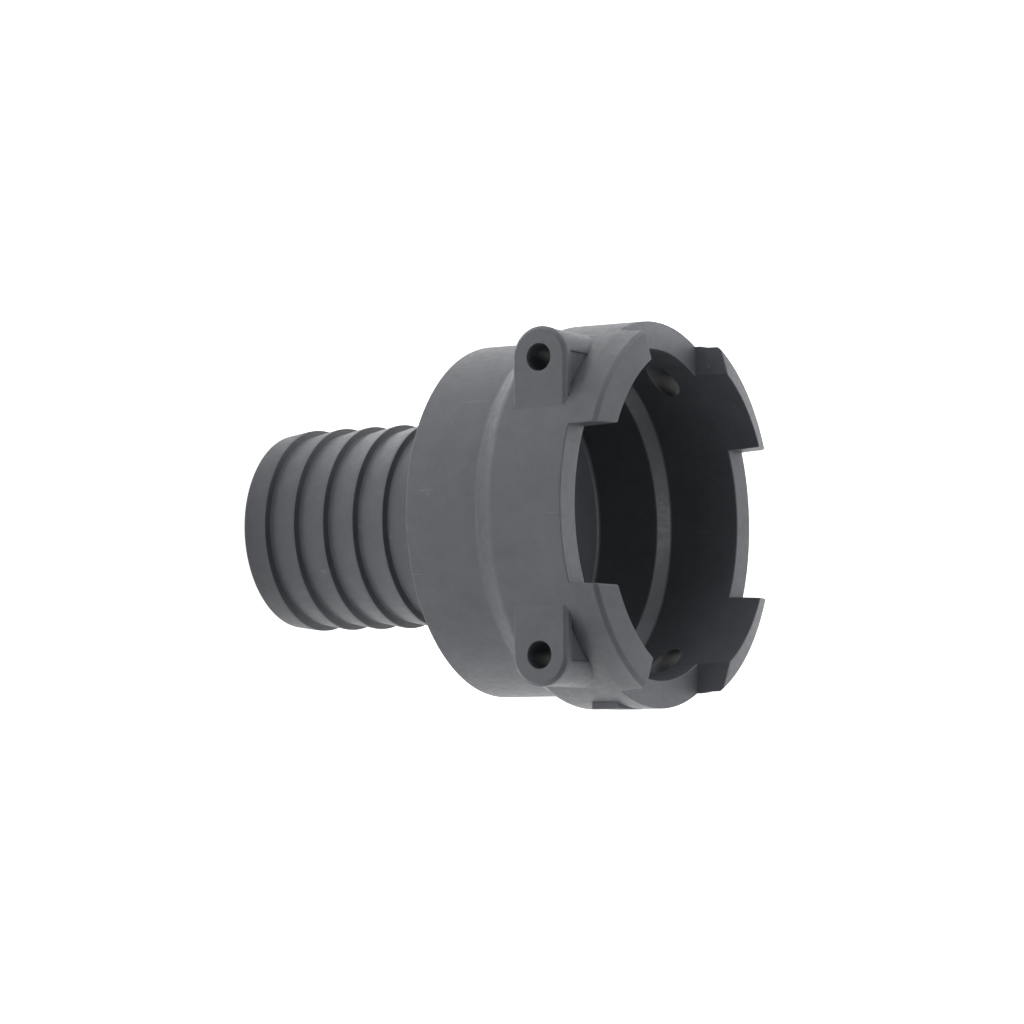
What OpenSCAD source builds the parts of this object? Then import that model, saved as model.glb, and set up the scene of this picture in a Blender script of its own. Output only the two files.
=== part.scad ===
// Straight hose connector: a barbed hose tail that opens into a round socket.
// The socket has four lugs round its mouth and four ears for two fork pins.
// The whole fitting is one moulded piece, standing on the end of its hose tail.
// Z runs along the fitting from the hose end to the mouth.
// X runs along the fork pins.

/* [Hose tail] */
// Length from the hose end to the back face of the collar
tail_l = 49.7; // [45:0.1:70]
// Diameter over the crests of the barbs
barb_d = 41.7; // [40.6:0.1:44]
// Diameter at the foot of the barbs and of the plain root
root_d = 39.2; // [38:0.1:40.2]
// Number of barbs
barb_n = 5; // [3:1:6]
// Distance between two crests
barb_pitch = 7.15; // [5.5:0.05:7.5]
// Distance from the hose end to the first crest
barb_lead = 6.2; // [4:0.1:8]
// Width of the narrow land on each crest
barb_land = 0.5; // [0.2:0.1:1.2]
// Axial depth of the steep shoulder behind each crest
barb_back = 0.4; // [0.2:0.1:1]
// Outer diameter at the very end of the tail
nose_d = 40.2; // [39:0.1:41.4]
// Bevel round the outer edge of the hose end
nose_bevel = 0.6; // [0.3:0.1:1.5]
// Diameter of the passage through the tail
tail_bore_d = 33; // [28:0.5:35]
// Bevel round the inner edge of the hose end
bore_bevel = 0.6; // [0.3:0.1:1.2]
// Fillet where the tail meets the collar
root_fillet = 1; // [0.5:0.1:2]

/* [Collar] */
// Outer diameter of the collar
collar_d = 70.6; // [68:0.1:74]
// Length of the collar's straight part
collar_l = 16.2; // [12:0.1:26]
// Bevel round the back edge of the collar
collar_bevel = 0.5; // [0.3:0.1:1.5]
// Thickness of the wall between the tail and the inner chamber
floor_t = 5.3; // [3:0.1:8]
// Diameter of the inner chamber
chamber_d = 59.4; // [52:0.1:61]
// Bevel in the corner of the chamber's floor
floor_bevel = 0.6; // [0.3:0.1:1.5]

/* [Socket ring] */
// Outer diameter of the ring round the mouth
ring_d = 76; // [75:0.1:80]
// Axial length of the cone between the collar and the ring
shoulder_l = 4.4; // [2.5:0.1:8]
// Length of the ring's straight part, up to the rim
ring_l = 15.9; // [15:0.1:24]
// Diameter of the socket that takes the mating spigot
socket_d = 65; // [63:0.1:67]
// Depth of the socket below the rim, down to its seat
socket_depth = 15.4; // [12:0.1:18]
// Axial length of the sloping seat at the bottom of the socket
seat_l = 1.8; // [1:0.1:3]

/* [Lugs] */
// Height of the lugs above the rim along their outer edge
lug_out_l = 5.5; // [4:0.1:9]
// Height of the lugs above the rim along their inner edge
lug_in_l = 7.2; // [5:0.1:11]
// How far the lugs are set in from the ring's outer surface
lug_inset = 0.25; // [0.1:0.05:0.8]
// Height above the rim at which the inset starts
lug_step_l = 1.1; // [0.5:0.1:2.5]
// Width at the rim of the two gaps between the lugs that face along X
side_gap_w = 29.8; // [24:0.1:36]
// Width at the rim of the two gaps between the lugs that face along Y
end_gap_w = 30.2; // [24:0.1:36]
// How far each side of a gap leans outward from the rim to the lugs' ends
gap_draft = 0.35; // [0:0.05:0.8]

/* [Fork pin ears] */
// Diameter of the fork pin holes
pin_d = 5.25; // [4:0.05:6.5]
// Distance of each pin's line inside the wall of the socket
pin_inset = 4.25; // [3:0.05:6]
// Distance of the pins below the rim
pin_depth = 7.7; // [7:0.1:9]
// Width of an ear, which is also the diameter of its round end
ear_w = 12; // [10:0.1:13]
// Distance of an ear's flat face inside the ring's outermost line
ear_inset = 5; // [3:0.1:5.7]
// Thickness of an ear
ear_t = 1.9; // [1.4:0.1:3]
// Bevel round the front of an ear
ear_bevel = 0.6; // [0.3:0.1:1]
// Length of an ear's straight part from the pin toward the middle
ear_l = 10.4; // [8:0.1:11.5]
// Diameter of the round outer side of the boss between an ear and the ring
boss_d = 11.7; // [10:0.1:11.8]
// Height above the pin's line at which the boss steps down to its flat web
boss_step = 1; // [0:0.1:2]
// Width of the flat web between an ear and the ring
web_w = 10.8; // [8:0.1:11.4]

/* [Gate pad] */
// Width of the small flat pad on one side of the ring
pad_w = 10; // [4:0.5:14]
// Length of the pad along the ring
pad_l = 5.6; // [3:0.1:8]
// Height of the pad's flat face above the ring's surface
pad_h = 0.1; // [0.1:0.05:0.6]
// Sideways place of the pad's middle, measured along X
pad_x = -4.2; // [-5:0.1:5]
// Distance from the rim to the pad
pad_depth = 4.5; // [3:0.1:7.5]

/* [Hidden] */
$fn = 128;

// Extra length by which a cut runs past a face
over = 2;
// How far the web runs on into the round side of the boss
web_rise = 0.5;

barb_r = barb_d / 2;
root_r = root_d / 2;
nose_r = nose_d / 2;
tail_bore_r = tail_bore_d / 2;
collar_r = collar_d / 2;
chamber_r = chamber_d / 2;
ring_r = ring_d / 2;
socket_r = socket_d / 2;
lug_r = ring_r - lug_inset;
pin_offset = socket_r - pin_inset;
ear_span = ring_d - 2 * ear_inset;

// Heights of the main faces above the hose end
floor_z = tail_l + floor_t;
shoulder_z = tail_l + collar_l;
ring_z = shoulder_z + shoulder_l;
rim_z = ring_z + ring_l;
seat_z = rim_z - socket_depth;
pin_z = rim_z - pin_depth;

// Rise of the lugs' sloping end for each millimetre toward the middle
lug_slope = (lug_in_l - lug_out_l) / (lug_r - socket_r);
lug_top_z = rim_z + lug_in_l + over * lug_slope;

// Points of one barb: its crest, the crest's land and the shoulder behind it
function barb_points(z) = [
    [barb_r, z - barb_land],
    [barb_r, z],
    [root_r, z + barb_back]
];

// Outline of the tail from the hose end to the collar
tail_outline = concat(
    [[0, 0], [nose_r - nose_bevel, 0], [nose_r, nose_bevel]],
    [for (i = [0 : barb_n - 1]) each barb_points(barb_lead + i * barb_pitch)],
    [[root_r, tail_l - root_fillet], [root_r + root_fillet, tail_l]]
);

// Outline of the collar, the cone, the ring and the band that holds the lugs
socket_outline = [
    [collar_r - collar_bevel, tail_l],
    [collar_r, tail_l + collar_bevel],
    [collar_r, shoulder_z],
    [ring_r, ring_z],
    [ring_r, rim_z + lug_step_l],
    [lug_r, rim_z + lug_step_l + lug_inset],
    [lug_r, rim_z + lug_out_l],
    [socket_r - over, lug_top_z],
    [0, lug_top_z]
];

// Outline of the passage, the chamber, the seat and the socket
passage_outline = [
    [0, -over],
    [tail_bore_r + bore_bevel + over, -over],
    [tail_bore_r, bore_bevel],
    [tail_bore_r, floor_z],
    [chamber_r - floor_bevel, floor_z],
    [chamber_r, floor_z + floor_bevel],
    [chamber_r, seat_z - seat_l],
    [socket_r, seat_z],
    [socket_r, lug_top_z + over],
    [0, lug_top_z + over]
];

// The solid form of the fitting, turned round its axis
module turned_body() {
    rotate_extrude() polygon(concat(tail_outline, socket_outline));
}

// Everything inside that the water passes through
module passage() {
    rotate_extrude() polygon(passage_outline);
}

// Open space right across the mouth along X, a little wider at the lugs' ends
module lug_gap(width) {
    gap_h = lug_in_l + over;
    half_top = width / 2 + gap_draft * gap_h / lug_in_l;
    rotate([90, 0, 90])
        linear_extrude(2 * (ring_r + over), center = true)
            polygon([[-width / 2, 0], [width / 2, 0], [half_top, gap_h], [-half_top, gap_h]]);
}

// Open space between the lugs, down to the rim
module lug_gaps() {
    translate([0, 0, rim_z]) {
        lug_gap(side_gap_w);
        rotate([0, 0, 90]) lug_gap(end_gap_w);
    }
}

// The half-round outer end of an ear, with its bevelled front edge
module ear_round_end() {
    half = ear_w / 2;
    intersection() {
        rotate_extrude() polygon([
            [0, 0],
            [half, 0],
            [half, ear_t - ear_bevel],
            [half - ear_bevel, ear_t],
            [0, ear_t]
        ]);
        translate([-ear_w, 0, -over]) cube([2 * ear_w, ear_w, ear_t + 2 * over]);
    }
}

// The straight part of an ear, which runs into the ring
module ear_straight_part() {
    half = ear_w / 2;
    rotate([90, 0, 0]) linear_extrude(ear_l) polygon([
        [-half, 0],
        [half, 0],
        [half, ear_t - ear_bevel],
        [half - ear_bevel, ear_t],
        [-half + ear_bevel, ear_t],
        [-half, ear_t - ear_bevel]
    ]);
}

// Places what follows on each of the two pin lines
module on_pin_lines() {
    for (turn = [0, 180])
        rotate([0, 0, turn]) translate([0, pin_offset, pin_z]) children();
}

// The boss on one pin line: round on its outer side, with a flat web below
module boss() {
    boss_l = ear_span - ear_t;
    difference() {
        rotate([0, 90, 0]) cylinder(d = boss_d, h = boss_l, center = true);
        translate([-boss_l, boss_step - 2 * boss_d, -boss_d])
            cube([2 * boss_l, 2 * boss_d, 2 * boss_d]);
    }
    translate([-boss_l / 2, -ear_l, -web_w / 2])
        cube([boss_l, ear_l + boss_step + web_rise, web_w]);
}

// The four ears and the bosses that carry them
module ears() {
    on_pin_lines() {
        for (side = [90, 270])
            rotate([0, side, 0]) translate([0, 0, ear_span / 2 - ear_t]) {
                ear_round_end();
                ear_straight_part();
            }
        boss();
    }
}

// The two holes for the fork pins, right through the ears and the ring
module pin_holes() {
    on_pin_lines()
        rotate([0, 90, 0]) cylinder(d = pin_d, h = ear_span + 2 * over, center = true);
}

// Small flat pad low on the ring
module gate_pad() {
    translate([pad_x - pad_w / 2, -ring_r - pad_h, rim_z - pad_depth - pad_l])
        cube([pad_w, (ring_r - socket_r) / 2 + pad_h, pad_l]);
}

// The whole moulded fitting
module connector_body() {
    color([0.28, 0.29, 0.30])
    difference() {
        union() {
            turned_body();
            ears();
            gate_pad();
        }
        passage();
        lug_gaps();
        pin_holes();
    }
}

connector_body();
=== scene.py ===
"""Straight hose connector, dressed for its portrait.

The body is one closed moulding. Its outside and inside are turned from outlines,
the four lugs stand on the rim, and the four pin ears are joined on.
Sizes of the fitting are in millimetres. The camera, stage and materials are in metres.
"""

import math

import bpy
from mathutils import Matrix, Vector


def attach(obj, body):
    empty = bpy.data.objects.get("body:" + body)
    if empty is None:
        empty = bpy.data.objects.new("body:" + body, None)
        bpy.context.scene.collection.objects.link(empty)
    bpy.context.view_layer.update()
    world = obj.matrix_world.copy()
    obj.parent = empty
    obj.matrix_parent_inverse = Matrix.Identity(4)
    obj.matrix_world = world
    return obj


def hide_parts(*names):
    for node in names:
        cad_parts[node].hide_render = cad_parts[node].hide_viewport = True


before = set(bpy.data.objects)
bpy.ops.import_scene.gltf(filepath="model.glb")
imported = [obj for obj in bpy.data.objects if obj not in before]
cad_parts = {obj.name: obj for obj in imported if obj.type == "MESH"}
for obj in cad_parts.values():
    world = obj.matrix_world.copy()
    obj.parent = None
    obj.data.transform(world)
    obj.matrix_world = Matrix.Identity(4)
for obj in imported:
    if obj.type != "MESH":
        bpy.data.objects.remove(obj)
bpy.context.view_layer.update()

MM = 0.001
MERGE_DISTANCE = 0.002 * MM

# Camera

CAMERA_PLACE = (-0.5869, -0.0509, 0.4136)
CAMERA_UP = (-0.06373, 0.99708, 0.04205)
CAMERA_AHEAD = (0.84904, 0.07646, -0.52277)
CAMERA_LENS = 120.77
SENSOR_WIDTH = 36.0


def add_camera():
    """The camera at the photograph's viewing angle."""
    data = bpy.data.cameras.new("photo_camera")
    data.lens = CAMERA_LENS
    data.sensor_width = SENSOR_WIDTH
    camera = bpy.data.objects.new("photo_camera", data)
    bpy.context.scene.collection.objects.link(camera)
    ahead = Vector(CAMERA_AHEAD).normalized()
    right = ahead.cross(Vector(CAMERA_UP)).normalized()
    up = right.cross(ahead)
    turn = Matrix((right, up, -ahead)).transposed().to_4x4()
    camera.matrix_world = Matrix.Translation(CAMERA_PLACE) @ turn
    bpy.context.scene.camera = camera


# Sizes of the fitting, in millimetres

TAIL_LENGTH = 49.7
END_FACE_OUTER = 18.5
END_FACE_INNER = 18.0
NOSE_RADIUS = 20.1
NOSE_BEVEL = 0.6
BARB_RADIUS = 20.85
ROOT_RADIUS = 19.6
BARB_COUNT = 5
BARB_PITCH = 7.15
FIRST_BARB = 6.2
BARB_LAND = 0.5
BARB_BACK = 0.4
COLLAR_RADIUS = 35.3
SHOULDER_HEIGHT = 65.9
RING_RADIUS = 38.0
RING_FOOT = 70.3
RIM_HEIGHT = 86.2
SOCKET_RADIUS = 32.5
SEAT_TOP = 70.8
SEAT_FOOT = 69.0
CHAMBER_RADIUS = 29.7
FLOOR_HEIGHT = 55.0
BORE_RADIUS = 16.5
BORE_BEVEL = 0.6

LUG_RADIUS = 37.75
LUG_STEP = 87.3
LUG_STEP_RISE = 1.5
LUG_OUTER_TOP = 91.7
LUG_INNER_TOP = 93.4
LUG_CHAMFER = 0.6
LUG_CHAMFER_RISE = 0.2
GAP_ALONG_X = 14.9
GAP_ALONG_Y = 15.1
GAP_LEAN = 0.35 / 7.2
LUG_ROUNDING = 0.28
CHAMFER_ROUNDING = 0.12

PIN_LINE = 28.25
PIN_HEIGHT = 78.5
PIN_RADIUS = 2.625
EAR_FACE = 33.0
EAR_THICKNESS = 1.9
EAR_HALF_WIDTH = 6.0
EAR_BEVEL = 0.7
EAR_ROUNDING = 0.1
EAR_INNER_END = 17.85
BOSS_RADIUS = 5.85
BOSS_STEP = 1.0
WEB_HALF_WIDTH = 5.4
BOSS_START = 10.0
BOSS_ROUNDING = 0.35
WEB_OVERLAP = 0.5
RING_ROOM_RADIUS = 35.2
RING_ROOM_LENGTH = 60
PIN_LENGTH = 80
HOLE_ROUNDING = 0.15

PAD_PLACE = (-4.2, -36.7, 78.9)
PAD_SIZE = (10.0, 2.8, 5.6)
PAD_FACE = -38.1
PAD_ROUNDING = 0.12

# How near a point counts as on its place, in millimetres and in radians

PLACE_SLACK = 0.01
CORNER_SLACK = 0.02
ANGLE_SLACK = 1e-4

# Divisions of the curved surfaces, and the angle in degrees up to which faces shade smoothly

GAP_STEPS = 16
LUG_STEPS = 30
ROUND_END_STEPS = 48
RING_ROOM_SIDES = 128
PIN_SIDES = 64
SMOOTH_ANGLE = 32


def barb_corners(height):
    """Outline corners of one barb, each with the size of its rounding."""
    return [
        (BARB_RADIUS, height - BARB_LAND, 0.3),
        (BARB_RADIUS, height, 0.07),
        (ROOT_RADIUS, height + BARB_BACK, 0.15),
    ]


# Corners of the two turned outlines: radius, height and the size of the rounding

OUTSIDE = [
    (END_FACE_OUTER, 0.0, 0),
    (NOSE_RADIUS - NOSE_BEVEL, 0.0, 0.15),
    (NOSE_RADIUS, NOSE_BEVEL, 0.2),
]
for number in range(BARB_COUNT):
    OUTSIDE += barb_corners(FIRST_BARB + number * BARB_PITCH)
OUTSIDE += [
    (ROOT_RADIUS, TAIL_LENGTH, 1.0),
    (COLLAR_RADIUS, TAIL_LENGTH, 0.5),
    (COLLAR_RADIUS, SHOULDER_HEIGHT, 0.5),
    (RING_RADIUS, RING_FOOT, 0.7),
    (RING_RADIUS, RIM_HEIGHT, 0),
]

INSIDE = [
    (END_FACE_INNER, 0.0, 0),
    (BORE_RADIUS + BORE_BEVEL, 0.0, 0.15),
    (BORE_RADIUS, BORE_BEVEL, 0.2),
    (BORE_RADIUS, FLOOR_HEIGHT, 0.4),
    (CHAMBER_RADIUS, FLOOR_HEIGHT, 0.8),
    (CHAMBER_RADIUS, SEAT_FOOT, 0.25),
    (SOCKET_RADIUS, SEAT_TOP, 0.3),
    (SOCKET_RADIUS, RIM_HEIGHT, 0),
]

# The curved edges of a lug, from its outer foot over the top to its inner foot: radius and height

LUG_LOOPS = [
    (RING_RADIUS, RIM_HEIGHT),
    (RING_RADIUS, LUG_STEP),
    (LUG_RADIUS, LUG_STEP + LUG_STEP_RISE),
    (LUG_RADIUS, LUG_OUTER_TOP - LUG_CHAMFER),
    (LUG_RADIUS - LUG_CHAMFER, LUG_OUTER_TOP + LUG_CHAMFER_RISE),
    (SOCKET_RADIUS, LUG_INNER_TOP),
    (SOCKET_RADIUS, RIM_HEIGHT),
]
LUG_CHAMFER_EDGES = LUG_LOOPS[3:5]


def lug_angles(radius, height):
    """Angles, counted from the X axis, between which a lug stands at this radius and height."""
    lean = (height - RIM_HEIGHT) * GAP_LEAN
    start = math.asin((GAP_ALONG_X + lean) / radius)
    end = math.pi / 2 - math.asin((GAP_ALONG_Y + lean) / radius)
    return start, end


def lug_corner(radius, height, side):
    """The point where a curved edge of a lug ends, on the side toward X (0) or toward Y (1)."""
    angle = lug_angles(radius, height)[side]
    return Vector((radius * math.cos(angle), radius * math.sin(angle), height))


# Modelling helpers


def edit():
    bpy.ops.object.mode_set(mode="EDIT")


def leave_edit():
    bpy.ops.object.mode_set(mode="OBJECT")


def pick_points(test):
    """Select the points of the mesh in hand whose place, in millimetres, passes the test."""
    edit()
    bpy.ops.mesh.select_mode(type="VERT")
    bpy.ops.mesh.select_all(action="DESELECT")
    leave_edit()
    for point in bpy.context.object.data.vertices:
        point.select = test(point.co / MM)
    edit()


def pick_edges(test):
    """Select the edges of the mesh in hand whose two ends, in millimetres, pass the test."""
    edit()
    bpy.ops.mesh.select_mode(type="EDGE")
    bpy.ops.mesh.select_all(action="DESELECT")
    leave_edit()
    mesh = bpy.context.object.data
    for edge in mesh.edges:
        start, end = (mesh.vertices[index].co / MM for index in edge.vertices)
        edge.select = test(start, end)
    edit()


def near(value, wanted):
    """True for two lengths that are the same within the slack."""
    return abs(value - wanted) < PLACE_SLACK


def on_circle(point, radius, height):
    """True for a point on the circle round the axis that has this radius and height."""
    return near(point.xy.length, radius) and near(point.z, height)


def lug_side(point):
    """The side of a lug, 0 or 1, on whose corners this point lies, in any quarter, or None."""
    spot = Vector((abs(point.x), abs(point.y), point.z))
    for radius, height in LUG_LOOPS:
        for side in (0, 1):
            if (spot - lug_corner(radius, height, side)).length < CORNER_SLACK:
                return side
    return None


def soften(test, size, segments, clamp=False):
    """Bevel the edges of the piece in hand whose two ends pass the test."""
    pick_edges(test)
    bpy.ops.mesh.bevel(offset=size * MM, segments=segments, affect="EDGES", clamp_overlap=clamp)
    leave_edit()


def start_point(name, place):
    """A new piece that is a single point at this place, left in edit mode and selected."""
    bpy.ops.object.select_all(action="DESELECT")
    bpy.ops.mesh.primitive_circle_add(vertices=3, radius=MM)
    piece = bpy.context.object
    piece.name = name
    edit()
    bpy.ops.mesh.select_mode(type="VERT")
    bpy.ops.mesh.merge(type="CENTER")
    bpy.ops.mesh.select_all(action="SELECT")
    bpy.ops.transform.translate(value=Vector(place) * MM)
    return piece


def pull(offset):
    """Extrude what is selected by this offset in millimetres."""
    bpy.ops.mesh.extrude_region_move(TRANSFORM_OT_translate={"value": tuple(Vector(offset) * MM)})


def fill_outline():
    """Close the line in hand, whose last point lies on its first, and fill it with one face."""
    bpy.ops.mesh.select_all(action="SELECT")
    bpy.ops.mesh.remove_doubles(threshold=MERGE_DISTANCE)
    bpy.ops.mesh.edge_face_add()


def turn_about_z(angle, steps):
    """Spin what is selected round the fitting's axis, from X toward Y."""
    bpy.ops.mesh.spin(steps=steps, angle=-angle, center=(0, 0, 0), axis=(0, 0, 1))


def outline(name, corners):
    """A line through corners given as (radius, height, rounding), lying over the X axis."""
    radius, height, _ = corners[0]
    piece = start_point(name, (radius, 0, height))
    for (r0, z0, _), (r1, z1, _) in zip(corners, corners[1:]):
        pull((r1 - r0, 0, z1 - z0))
    for radius, height, rounding in corners:
        if rounding:
            pick_points(lambda p: near(p.x, radius) and near(p.z, height))
            bpy.ops.mesh.bevel(offset=rounding * MM, segments=3, affect="VERTICES")
    return piece


def quarter_turn(name, corners, radius):
    """A quarter of a turned surface, with its divisions set where the lugs start and end."""
    piece = outline(name, corners)
    start, end = lug_angles(radius, RIM_HEIGHT)
    bpy.ops.mesh.select_all(action="SELECT")
    turn_about_z(start, GAP_STEPS)
    turn_about_z(end - start, LUG_STEPS)
    turn_about_z(math.pi / 2 - end, GAP_STEPS)
    leave_edit()
    return piece


def arc(radius, height):
    """One curved edge of a lug, as a piece of its own."""
    start, end = lug_angles(radius, height)
    piece = start_point("lug_edge", lug_corner(radius, height, 0))
    turn_about_z(end - start, LUG_STEPS)
    leave_edit()
    return piece


def join(pieces):
    """Make several meshes one piece, under the name of the first."""
    bpy.ops.object.select_all(action="DESELECT")
    for piece in pieces:
        piece.select_set(True)
    bpy.context.view_layer.objects.active = pieces[0]
    bpy.ops.object.join()
    return pieces[0]


def bridge_loops(first, second):
    """Lay a strip of faces between two loops, each given as (radius, height, lowest, highest angle)."""

    def on_loop(point, loop):
        radius, height, low, high = loop
        angle = math.atan2(point.y, point.x)
        return on_circle(point, radius, height) and low - ANGLE_SLACK < angle < high + ANGLE_SLACK

    pick_points(lambda p: on_loop(p, first) or on_loop(p, second))
    bpy.ops.mesh.bridge_edge_loops()
    leave_edit()


def take_up(piece):
    """Make this piece the one in hand, with nothing else selected."""
    bpy.ops.object.select_all(action="DESELECT")
    piece.select_set(True)
    bpy.context.view_layer.objects.active = piece


def take_modifier(piece, kind, **settings):
    """Add a modifier to a piece with these settings and apply it."""
    take_up(piece)
    modifier = piece.modifiers.new(kind.lower(), kind)
    for key, value in settings.items():
        setattr(modifier, key, value)
    bpy.ops.object.modifier_apply(modifier=modifier.name)


def cut_or_add(piece, tool, operation):
    """Cut one piece with another, or join the other on, and remove the tool."""
    take_modifier(piece, "BOOLEAN", object=tool, operation=operation, solver="EXACT")
    bpy.data.objects.remove(tool)


def close_and_turn_out(piece):
    """Merge doubled points and turn every face outwards."""
    take_up(piece)
    edit()
    bpy.ops.mesh.select_all(action="SELECT")
    bpy.ops.mesh.remove_doubles(threshold=MERGE_DISTANCE)
    bpy.ops.mesh.normals_make_consistent(inside=False)
    leave_edit()


# The moulding


def turned_quarter():
    """A quarter of the fitting: tail, collar, ring, passage, and one lug on the rim."""
    full = math.pi / 2
    pieces = [
        quarter_turn("connector", OUTSIDE, RING_RADIUS),
        quarter_turn("inside", INSIDE, SOCKET_RADIUS),
    ]
    pieces += [arc(radius, height) for radius, height in LUG_LOOPS]
    quarter = join(pieces)
    close_and_turn_out(quarter)

    bridge_loops((END_FACE_OUTER, 0, 0, full), (END_FACE_INNER, 0, 0, full))
    outer_start, outer_end = lug_angles(RING_RADIUS, RIM_HEIGHT)
    inner_start, inner_end = lug_angles(SOCKET_RADIUS, RIM_HEIGHT)
    bridge_loops(
        (RING_RADIUS, RIM_HEIGHT, 0, outer_start),
        (SOCKET_RADIUS, RIM_HEIGHT, 0, inner_start),
    )
    bridge_loops(
        (RING_RADIUS, RIM_HEIGHT, outer_end, full),
        (SOCKET_RADIUS, RIM_HEIGHT, inner_end, full),
    )
    for (r0, z0), (r1, z1) in zip(LUG_LOOPS, LUG_LOOPS[1:]):
        bridge_loops((r0, z0, *lug_angles(r0, z0)), (r1, z1, *lug_angles(r1, z1)))

    for side in (0, 1):
        pick_points(lambda p: lug_side(p) == side)
        bpy.ops.mesh.edge_face_add()
        leave_edit()
    return quarter


def is_lug_edge(start, end):
    """True for the edges of the rim and of the lugs that the mould leaves rounded."""
    if near(start.z, RIM_HEIGHT) and near(end.z, RIM_HEIGHT):
        middle = (start + end) / 2
        angle = math.atan2(abs(middle.y), abs(middle.x))
        for radius in (RING_RADIUS, SOCKET_RADIUS):
            if near(start.xy.length, radius) and near(end.xy.length, radius):
                first, last = lug_angles(radius, RIM_HEIGHT)
                return not first < angle < last
        return False
    if all(on_circle(point, SOCKET_RADIUS, LUG_INNER_TOP) for point in (start, end)):
        return True
    return lug_side(start) is not None and lug_side(start) == lug_side(end)


def is_chamfer_edge(start, end):
    """True for the two long edges of the chamfer along a lug's outer front edge."""
    for radius, height in LUG_CHAMFER_EDGES:
        if on_circle(start, radius, height) and on_circle(end, radius, height):
            return True
    return False


def turned_body():
    """The whole turned form, from one quarter and its mirror images, with softened edges."""
    body = turned_quarter()
    take_modifier(
        body,
        "MIRROR",
        use_axis=(True, True, False),
        use_mirror_merge=True,
        merge_threshold=MERGE_DISTANCE,
    )
    close_and_turn_out(body)
    soften(is_lug_edge, LUG_ROUNDING, 3, clamp=True)
    soften(is_chamfer_edge, CHAMFER_ROUNDING, 2, clamp=True)
    return body


def ear_plate():
    """One ear: a flat plate with a half-round outer end and a bevelled front."""
    inner_face = EAR_FACE - EAR_THICKNESS
    piece = start_point("ear_plate", (inner_face, EAR_INNER_END, PIN_HEIGHT - EAR_HALF_WIDTH))
    pull((0, PIN_LINE - EAR_INNER_END, 0))
    pin = Vector((inner_face, PIN_LINE, PIN_HEIGHT)) * MM
    bpy.ops.mesh.spin(steps=ROUND_END_STEPS, angle=-math.pi, center=pin, axis=(1, 0, 0))
    pull((0, EAR_INNER_END - PIN_LINE, 0))
    pull((0, 0, -2 * EAR_HALF_WIDTH))
    fill_outline()
    pull((EAR_THICKNESS, 0, 0))
    leave_edit()
    close_and_turn_out(piece)
    soften(lambda a, b: near(a.x, EAR_FACE) and near(b.x, EAR_FACE), EAR_BEVEL, 1)
    for face in (EAR_FACE, EAR_FACE - EAR_BEVEL):
        soften(lambda a, b: near(a.x, face) and near(b.x, face), EAR_ROUNDING, 2)
    return piece


def boss_round():
    """The round outer side of the boss behind an ear, cut flat just above the pin line."""
    side = math.sqrt(BOSS_RADIUS**2 - BOSS_STEP**2)
    sweep = 2 * math.atan2(side, BOSS_STEP)
    piece = start_point("boss_round", (BOSS_START, PIN_LINE + BOSS_STEP, PIN_HEIGHT - side))
    pin = Vector((BOSS_START, PIN_LINE, PIN_HEIGHT)) * MM
    bpy.ops.mesh.spin(steps=ROUND_END_STEPS, angle=-sweep, center=pin, axis=(1, 0, 0))
    pull((0, 0, -2 * side))
    fill_outline()
    pull((EAR_FACE - EAR_THICKNESS / 2 - BOSS_START, 0, 0))
    leave_edit()
    close_and_turn_out(piece)
    flat = PIN_LINE + BOSS_STEP
    soften(lambda a, b: near(a.y, flat) and near(b.y, flat) and near(a.z, b.z), BOSS_ROUNDING, 3)
    return piece


def block(name, middle, size):
    """A plain block to be joined to another piece."""
    bpy.ops.object.select_all(action="DESELECT")
    bpy.ops.mesh.primitive_cube_add(size=1, location=Vector(middle) * MM)
    piece = bpy.context.object
    piece.name = name
    piece.scale = Vector(size) * MM
    bpy.ops.object.transform_apply(location=True, rotation=True, scale=True)
    return piece


def boss_web():
    """The flat web that runs from the boss into the ring."""
    top = PIN_LINE + BOSS_STEP + WEB_OVERLAP
    end = EAR_FACE - EAR_THICKNESS / 2
    middle = ((BOSS_START + end) / 2, (EAR_INNER_END + top) / 2, PIN_HEIGHT)
    size = (end - BOSS_START, top - EAR_INNER_END, 2 * WEB_HALF_WIDTH)
    return block("boss_web", middle, size)


def cylinder(name, radius, length, place, sides, turn=(0, 0, 0)):
    """A round tool that cuts room into another piece."""
    bpy.ops.object.select_all(action="DESELECT")
    bpy.ops.mesh.primitive_cylinder_add(
        vertices=sides,
        radius=radius * MM,
        depth=length * MM,
        location=Vector(place) * MM,
        rotation=turn,
    )
    piece = bpy.context.object
    piece.name = name
    bpy.ops.object.transform_apply(location=True, rotation=True, scale=True)
    return piece


def corner_ear():
    """An ear with its boss, hollowed where the ring stands."""
    ear = ear_plate()
    cut_or_add(ear, boss_round(), "UNION")
    cut_or_add(ear, boss_web(), "UNION")
    place = (0, 0, PIN_HEIGHT)
    ring_room = cylinder("ring_room", RING_ROOM_RADIUS, RING_ROOM_LENGTH, place, RING_ROOM_SIDES)
    cut_or_add(ear, ring_room, "DIFFERENCE")
    return ear


def mirrored_copy(piece, axes):
    """A copy of a piece with its own mesh, mirrored along each axis that is given as -1."""
    take_up(piece)
    bpy.ops.object.duplicate()
    copy = bpy.context.object
    edit()
    bpy.ops.mesh.select_all(action="SELECT")
    bpy.ops.transform.resize(value=axes, center_override=(0, 0, 0))
    bpy.ops.mesh.normals_make_consistent(inside=False)
    leave_edit()
    return copy


def gate_pad():
    """The small flat pad where the plastic entered the mould."""
    pad = block("gate_pad", PAD_PLACE, PAD_SIZE)
    soften(lambda a, b: near(a.y, PAD_FACE) and near(b.y, PAD_FACE), PAD_ROUNDING, 2)
    return pad


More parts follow.
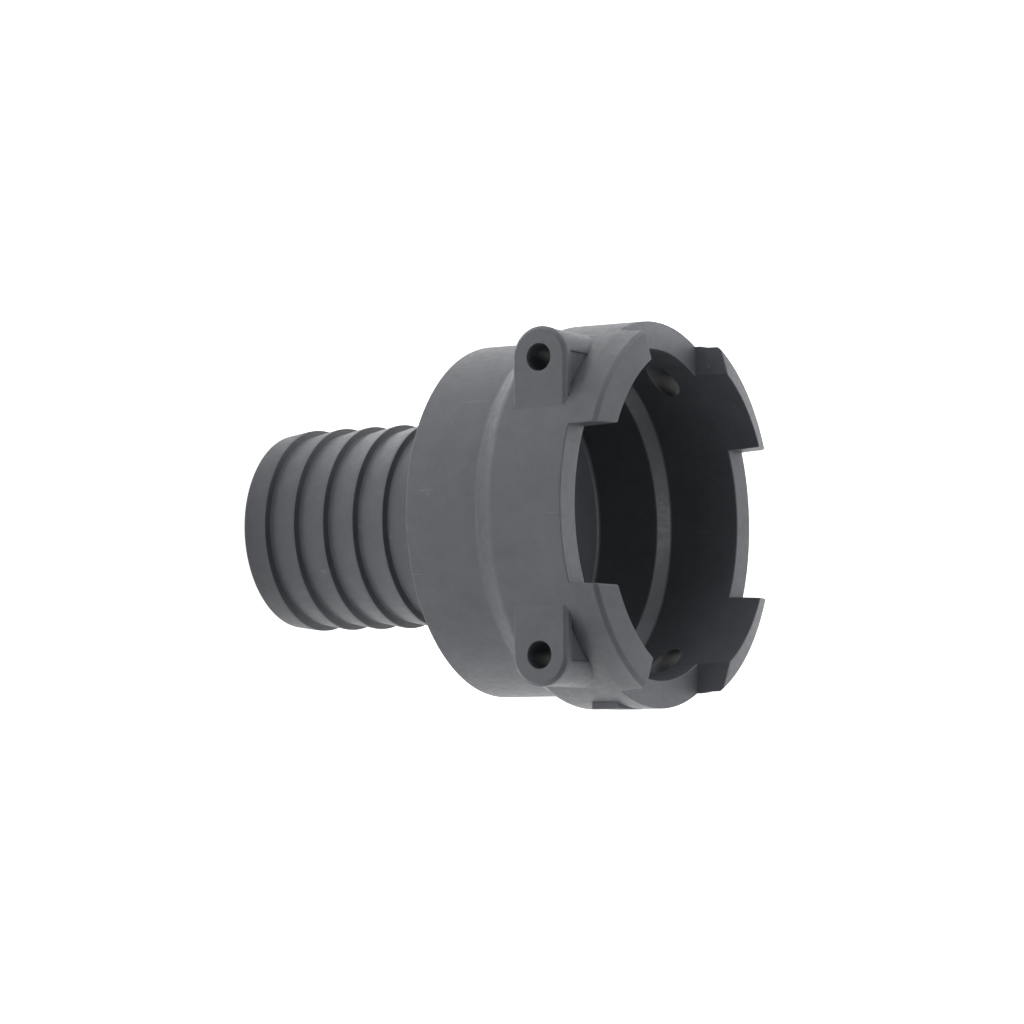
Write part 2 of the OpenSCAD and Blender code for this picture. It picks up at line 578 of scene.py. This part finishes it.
def moulded_body():
    """The whole fitting: the turned form with its ears, gate pad and pin holes, as one closed mesh."""
    body = turned_body()
    ear = corner_ear()
    ears = [ear] + [mirrored_copy(ear, axes) for axes in ((-1, 1, 1), (1, -1, 1), (-1, -1, 1))]
    for piece in ears:
        cut_or_add(body, piece, "UNION")
    cut_or_add(body, gate_pad(), "UNION")
    for side in (1, -1):
        place = (0, side * PIN_LINE, PIN_HEIGHT)
        pin = cylinder("pin_room", PIN_RADIUS, PIN_LENGTH, place, PIN_SIDES, (0, math.pi / 2, 0))
        cut_or_add(body, pin, "DIFFERENCE")
    close_and_turn_out(body)

    def on_hole_mouth(point):
        reach = math.hypot(abs(point.y) - PIN_LINE, point.z - PIN_HEIGHT)
        return near(abs(point.x), EAR_FACE) and near(reach, PIN_RADIUS)

    soften(lambda a, b: on_hole_mouth(a) and on_hole_mouth(b), HOLE_ROUNDING, 2)
    bpy.ops.object.shade_smooth_by_angle(angle=math.radians(SMOOTH_ANGLE))
    take_modifier(body, "WEIGHTED_NORMAL", mode="FACE_AREA", weight=60, keep_sharp=True)
    body.name = "connector_moulding"
    return body


# Helpers for shader nodes


def new_group(name, inputs, outputs):
    """A shader node group with these named sockets, and its node tree's two ends."""
    group = bpy.data.node_groups.new(name, "ShaderNodeTree")
    for label, kind, value in inputs:
        socket = group.interface.new_socket(label, in_out="INPUT", socket_type=kind)
        if value is not None:
            socket.default_value = value
    for label, kind in outputs:
        group.interface.new_socket(label, in_out="OUTPUT", socket_type=kind)
    return group, group.nodes.new("NodeGroupInput"), group.nodes.new("NodeGroupOutput")


def maths(tree, operation, first, second, third=None):
    """The output of one Math node, fed by sockets or plain numbers."""
    node = tree.nodes.new("ShaderNodeMath")
    node.operation = operation
    for slot, value in enumerate((first, second, third)):
        if value is None:
            continue
        if isinstance(value, (int, float)):
            node.inputs[slot].default_value = value
        else:
            tree.links.new(value, node.inputs[slot])
    return node.outputs[0]


def noise(tree, place, scale, detail, roughness):
    """The value of one Noise Texture node, read at this place."""
    node = tree.nodes.new("ShaderNodeTexNoise")
    node.inputs["Scale"].default_value = scale
    node.inputs["Detail"].default_value = detail
    node.inputs["Roughness"].default_value = roughness
    tree.links.new(place, node.inputs["Vector"])
    return node.outputs["Fac"]


def ramp(tree, value, low, high, to_low=0.0, to_high=1.0):
    """A smooth change from to_low to to_high, as a value goes from low to high."""
    node = tree.nodes.new("ShaderNodeMapRange")
    node.interpolation_type = "SMOOTHSTEP"
    node.inputs["From Min"].default_value = low
    node.inputs["From Max"].default_value = high
    node.inputs["To Min"].default_value = to_low
    node.inputs["To Max"].default_value = to_high
    tree.links.new(value, node.inputs["Value"])
    return node.outputs["Result"]


# Stage, in metres, watts and degrees

# The room is bright but for its dark side. Near the floor line its walls stay white all round,
# and the wall band gives the two heights between which that white fades out.

ROOM_BRIGHT = 1.28
ROOM_DARK = 0.18
DARK_SIDE = (-0.9, -0.17, 0.4)
DARK_FROM = -0.15
DARK_TO = 0.5
WALL_BAND = (0.14, 0.28)
WALL_WHITE = 1.0

LAMP_AIM = (0, 0, 0.06)
TOP_PLACE = (-0.2, 1.3, 0.12)
TOP_SIZE = (1.4, 0.55)
TOP_POWER = 3.2
OVERHEAD_PLACE = (-0.2, 0.08, 1.2)
OVERHEAD_SIZE = (0.3, 0.3)
OVERHEAD_POWER = 3.1

# Lamps that light one patch of floor each: its middle, its size and the power

FLOOR_PATCHES = {
    "floor_lamp_side": ((0.0, 0.054), (0.06, 0.02), 0.022),
    "floor_lamp_front": ((-0.17, 0.0), (0.22, 0.26), 0.075),
}
PATCH_LAMP_HEIGHT = 0.4
PATCH_SPREAD = 5
WIDE_SPREAD = 180

FLOOR_WIDTH = 40
FLOOR_COLOUR = (0.8, 0.8, 0.8, 1)
FLOOR_ROUGHNESS = 0.9
WHITE = (1, 1, 1, 1)


def add_floor():
    """A pale floor that the camera and clear or glossy surfaces see as white, with its shadows."""
    bpy.ops.object.select_all(action="DESELECT")
    bpy.ops.mesh.primitive_plane_add(size=FLOOR_WIDTH)
    floor = bpy.context.object
    floor.name = "studio_floor"
    material = bpy.data.materials.new("studio_floor")
    material.use_nodes = True
    tree = material.node_tree
    paint = tree.nodes["Principled BSDF"]
    paint.inputs["Base Color"].default_value = FLOOR_COLOUR
    paint.inputs["Roughness"].default_value = FLOOR_ROUGHNESS
    paint.inputs["Emission Color"].default_value = WHITE
    rays = tree.nodes.new("ShaderNodeLightPath").outputs
    mirrored = maths(tree, "MAXIMUM", rays["Is Glossy Ray"], rays["Is Transmission Ray"])
    seen = maths(tree, "MAXIMUM", rays["Is Camera Ray"], mirrored)
    tree.links.new(seen, paint.inputs["Emission Strength"])
    floor.data.materials.append(material)


def add_softbox(name, place, aim, size, power, spread=WIDE_SPREAD):
    """A rectangular lamp at this place, turned toward its aim."""
    data = bpy.data.lights.new(name, "AREA")
    data.spread = math.radians(spread)
    data.shape = "RECTANGLE"
    data.size, data.size_y = size
    data.energy = power
    lamp = bpy.data.objects.new(name, data)
    bpy.context.scene.collection.objects.link(lamp)
    lamp.location = place
    lamp.rotation_mode = "QUATERNION"
    lamp.rotation_quaternion = (Vector(aim) - Vector(place)).to_track_quat("-Z", "Y")


def light_the_scene():
    """A white room, dark above the camera's side, with two softboxes and two patches of lit floor."""
    world = bpy.data.worlds.new("studio")
    bpy.context.scene.world = world
    world.use_nodes = True
    room = world.node_tree
    back = room.nodes["Background"]
    back.inputs["Color"].default_value = WHITE
    look = room.nodes.new("ShaderNodeTexCoord").outputs["Generated"]
    aim = room.nodes.new("ShaderNodeVectorMath")
    aim.operation = "DOT_PRODUCT"
    aim.inputs[1].default_value = Vector(DARK_SIDE).normalized()
    room.links.new(look, aim.inputs[0])
    side = ramp(room, aim.outputs["Value"], DARK_FROM, DARK_TO, ROOM_BRIGHT, ROOM_DARK)
    height = room.nodes.new("ShaderNodeSeparateXYZ")
    room.links.new(look, height.inputs["Vector"])
    wall = ramp(room, height.outputs["Z"], *WALL_BAND, WALL_WHITE, 0.0)
    room.links.new(maths(room, "MAXIMUM", side, wall), back.inputs["Strength"])
    add_softbox("softbox_top", TOP_PLACE, LAMP_AIM, TOP_SIZE, TOP_POWER)
    add_softbox("softbox_overhead", OVERHEAD_PLACE, LAMP_AIM, OVERHEAD_SIZE, OVERHEAD_POWER)
    for name, (middle, size, power) in FLOOR_PATCHES.items():
        place = (*middle, PATCH_LAMP_HEIGHT)
        add_softbox(name, place, (*middle, 0), size, power, spread=PATCH_SPREAD)


# Materials

PLASTIC_COLOUR = (0.087, 0.093, 0.105, 1)
# Pale colour of handling rubs, and of the worn edges that also serve as a painted highlight
RUBBED_AND_HIGHLIGHT_COLOUR = (0.20, 0.205, 0.215, 1)
# How much the painted shade darkens grooves and inner corners
CORNER_SHADE_STRENGTH = 0.1
MOTTLE_STRENGTH = 0.12
SPECK_FREE_SHARE = 0.86
RUB_TURN = (0.5, 0.3, 0.8)
RUB_STRETCH = (900, 900, 60)
MARKS_SHARE = 0.35
WEAR_AND_HIGHLIGHT_SHARE = 0.2

PLAIN_ROUGHNESS = 0.44
PITS_ROUGHNESS = 0.08
RUBBED_ROUGHNESS = -0.15
GRAIN_STRENGTH = 0.35
GRAIN_DEPTH = 0.00004


def mould_grain_group():
    """The fine spark-eroded grain that the mould leaves on the plastic."""
    group, ends_in, ends_out = new_group(
        "mould_grain",
        [("Vector", "NodeSocketVector", None)],
        [("Height", "NodeSocketFloat"), ("Pits", "NodeSocketFloat")],
    )
    place = ends_in.outputs["Vector"]
    fine = noise(group, place, scale=2600, detail=2.0, roughness=0.6)
    coarse = noise(group, place, scale=700, detail=3.0, roughness=0.55)
    mixed = maths(group, "MULTIPLY_ADD", coarse, 0.9, fine)
    group.links.new(mixed, ends_out.inputs["Height"])
    group.links.new(ramp(group, coarse, 0.35, 0.65), ends_out.inputs["Pits"])
    return group


def soft_mottle_group():
    """Broad, faint clouds in the colour, from the way the melt flowed and cooled."""
    group, ends_in, ends_out = new_group(
        "soft_mottle",
        [("Vector", "NodeSocketVector", None), ("Strength", "NodeSocketFloat", 0.08)],
        [("Factor", "NodeSocketFloat")],
    )
    place = ends_in.outputs["Vector"]
    clouds = noise(group, place, scale=75, detail=4.0, roughness=0.6)
    blotches = noise(group, place, scale=260, detail=3.0, roughness=0.6)
    both = maths(group, "MULTIPLY_ADD", blotches, 0.6, clouds)
    centred = maths(group, "SUBTRACT", both, 0.8)
    scaled = maths(group, "MULTIPLY", centred, ends_in.outputs["Strength"])
    factor = maths(group, "MULTIPLY_ADD", scaled, 4.0, 1.0)
    group.links.new(factor, ends_out.inputs["Factor"])
    return group


def handling_marks_group():
    """Sparse pale specks and short rubs from handling."""
    group, ends_in, ends_out = new_group(
        "handling_marks",
        [("Vector", "NodeSocketVector", None)],
        [("Mask", "NodeSocketFloat")],
    )
    place = ends_in.outputs["Vector"]
    cells = group.nodes.new("ShaderNodeTexVoronoi")
    cells.inputs["Scale"].default_value = 260
    group.links.new(place, cells.inputs["Vector"])
    speck = ramp(group, cells.outputs["Distance"], 0.05, 0.11, to_low=1.0, to_high=0.0)
    split = group.nodes.new("ShaderNodeSeparateColor")
    group.links.new(cells.outputs["Color"], split.inputs[0])
    chosen = maths(group, "GREATER_THAN", split.outputs[0], SPECK_FREE_SHARE)
    specks = maths(group, "MULTIPLY", speck, chosen)
    stretch = group.nodes.new("ShaderNodeMapping")
    stretch.inputs["Rotation"].default_value = RUB_TURN
    stretch.inputs["Scale"].default_value = RUB_STRETCH
    group.links.new(place, stretch.inputs["Vector"])
    streaks = noise(group, stretch.outputs["Vector"], scale=1.0, detail=1.0, roughness=0.5)
    rub = ramp(group, streaks, 0.76, 0.84)
    both = maths(group, "MAXIMUM", specks, rub)
    group.links.new(both, ends_out.inputs["Mask"])
    return group


def edge_wear_and_highlight_group():
    """Picks out outward edges, broken up by a fine pattern, for wear that also serves as a painted
    highlight.
    """
    group, ends_in, ends_out = new_group(
        "edge_wear_and_highlight",
        [("Vector", "NodeSocketVector", None), ("Width", "NodeSocketFloat", 0.0005)],
        [("Mask", "NodeSocketFloat")],
    )
    rounded = group.nodes.new("ShaderNodeBevel")
    rounded.samples = 6
    group.links.new(ends_in.outputs["Width"], rounded.inputs["Radius"])
    plain = group.nodes.new("ShaderNodeNewGeometry")
    turn = group.nodes.new("ShaderNodeVectorMath")
    turn.operation = "DOT_PRODUCT"
    group.links.new(rounded.outputs["Normal"], turn.inputs[0])
    group.links.new(plain.outputs["Normal"], turn.inputs[1])
    edge = ramp(group, turn.outputs["Value"], 0.86, 0.99, to_low=1.0, to_high=0.0)
    pattern = noise(group, ends_in.outputs["Vector"], scale=900, detail=3.0, roughness=0.6)
    broken = ramp(group, pattern, 0.35, 0.65, to_low=0.45)
    group.links.new(maths(group, "MULTIPLY", edge, broken), ends_out.inputs["Mask"])
    return group


def painted_corner_shade_group():
    """Picks out grooves and inner corners by ambient occlusion, broken up by a patchy pattern, for
    painted shade there.
    """
    group, ends_in, ends_out = new_group(
        "painted_corner_shade",
        [("Vector", "NodeSocketVector", None), ("Reach", "NodeSocketFloat", 0.007)],
        [("Mask", "NodeSocketFloat")],
    )
    hollow = group.nodes.new("ShaderNodeAmbientOcclusion")
    hollow.samples = 8
    hollow.only_local = True
    group.links.new(ends_in.outputs["Reach"], hollow.inputs["Distance"])
    closed = ramp(group, hollow.outputs["AO"], 0.45, 0.95, to_low=1.0, to_high=0.0)
    pattern = noise(group, ends_in.outputs["Vector"], scale=350, detail=3.0, roughness=0.6)
    patchy = ramp(group, pattern, 0.3, 0.7, to_low=0.75)
    group.links.new(maths(group, "MULTIPLY", closed, patchy), ends_out.inputs["Mask"])
    return group


def moulded_plastic():
    """Dark grey moulded plastic: grain, faint clouds, handling marks, worn edges with a painted
    highlight, and painted shade in the corners.
    """
    material = bpy.data.materials.new("moulded_plastic")
    material.use_nodes = True
    tree = material.node_tree
    nodes = tree.nodes
    links = tree.links
    paint = nodes["Principled BSDF"]
    place = nodes.new("ShaderNodeTexCoord").outputs["Object"]

    def effect(group):
        node = nodes.new("ShaderNodeGroup")
        node.node_tree = group
        links.new(place, node.inputs["Vector"])
        return node

    grain = effect(mould_grain_group())
    mottle = effect(soft_mottle_group())
    marks = effect(handling_marks_group())
    wear_and_highlight = effect(edge_wear_and_highlight_group())
    painted_shade = effect(painted_corner_shade_group())
    mottle.inputs["Strength"].default_value = MOTTLE_STRENGTH

    # Painted shade: grooves and inner corners are darkened in the colour
    shade = maths(tree, "MULTIPLY_ADD", painted_shade.outputs["Mask"], -CORNER_SHADE_STRENGTH, 1.0)
    tone = nodes.new("ShaderNodeVectorMath")
    tone.operation = "SCALE"
    tone.inputs[0].default_value = PLASTIC_COLOUR[:3]
    links.new(maths(tree, "MULTIPLY", shade, mottle.outputs["Factor"]), tone.inputs["Scale"])
    rubbed = maths(tree, "MULTIPLY", marks.outputs["Mask"], MARKS_SHARE)
    # Outward edges turn pale: wear along them, and a painted highlight
    worn_and_lit = maths(tree, "MULTIPLY", wear_and_highlight.outputs["Mask"], WEAR_AND_HIGHLIGHT_SHARE)
    share = maths(tree, "MAXIMUM", rubbed, worn_and_lit)
    colour = nodes.new("ShaderNodeMix")
    colour.data_type = "RGBA"
    links.new(share, colour.inputs["Factor"])
    links.new(tone.outputs["Vector"], colour.inputs["A"])
    colour.inputs["B"].default_value = RUBBED_AND_HIGHLIGHT_COLOUR
    links.new(colour.outputs["Result"], paint.inputs["Base Color"])

    rough = maths(tree, "MULTIPLY_ADD", grain.outputs["Pits"], PITS_ROUGHNESS, PLAIN_ROUGHNESS)
    rough = maths(tree, "MULTIPLY_ADD", share, RUBBED_ROUGHNESS, rough)
    links.new(rough, paint.inputs["Roughness"])

    relief = nodes.new("ShaderNodeBump")
    relief.inputs["Strength"].default_value = GRAIN_STRENGTH
    relief.inputs["Distance"].default_value = GRAIN_DEPTH
    links.new(grain.outputs["Height"], relief.inputs["Height"])
    links.new(relief.outputs["Normal"], paint.inputs["Normal"])
    return material


# The scene

add_camera()
add_floor()
light_the_scene()
plastic = moulded_plastic()
body = moulded_body()
body.data.materials.clear()
body.data.materials.append(plastic)
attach(body, "root")
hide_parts("connector_body")

scene = bpy.context.scene
scene.view_settings.view_transform = "Standard"

bpy.context.view_layer.update()
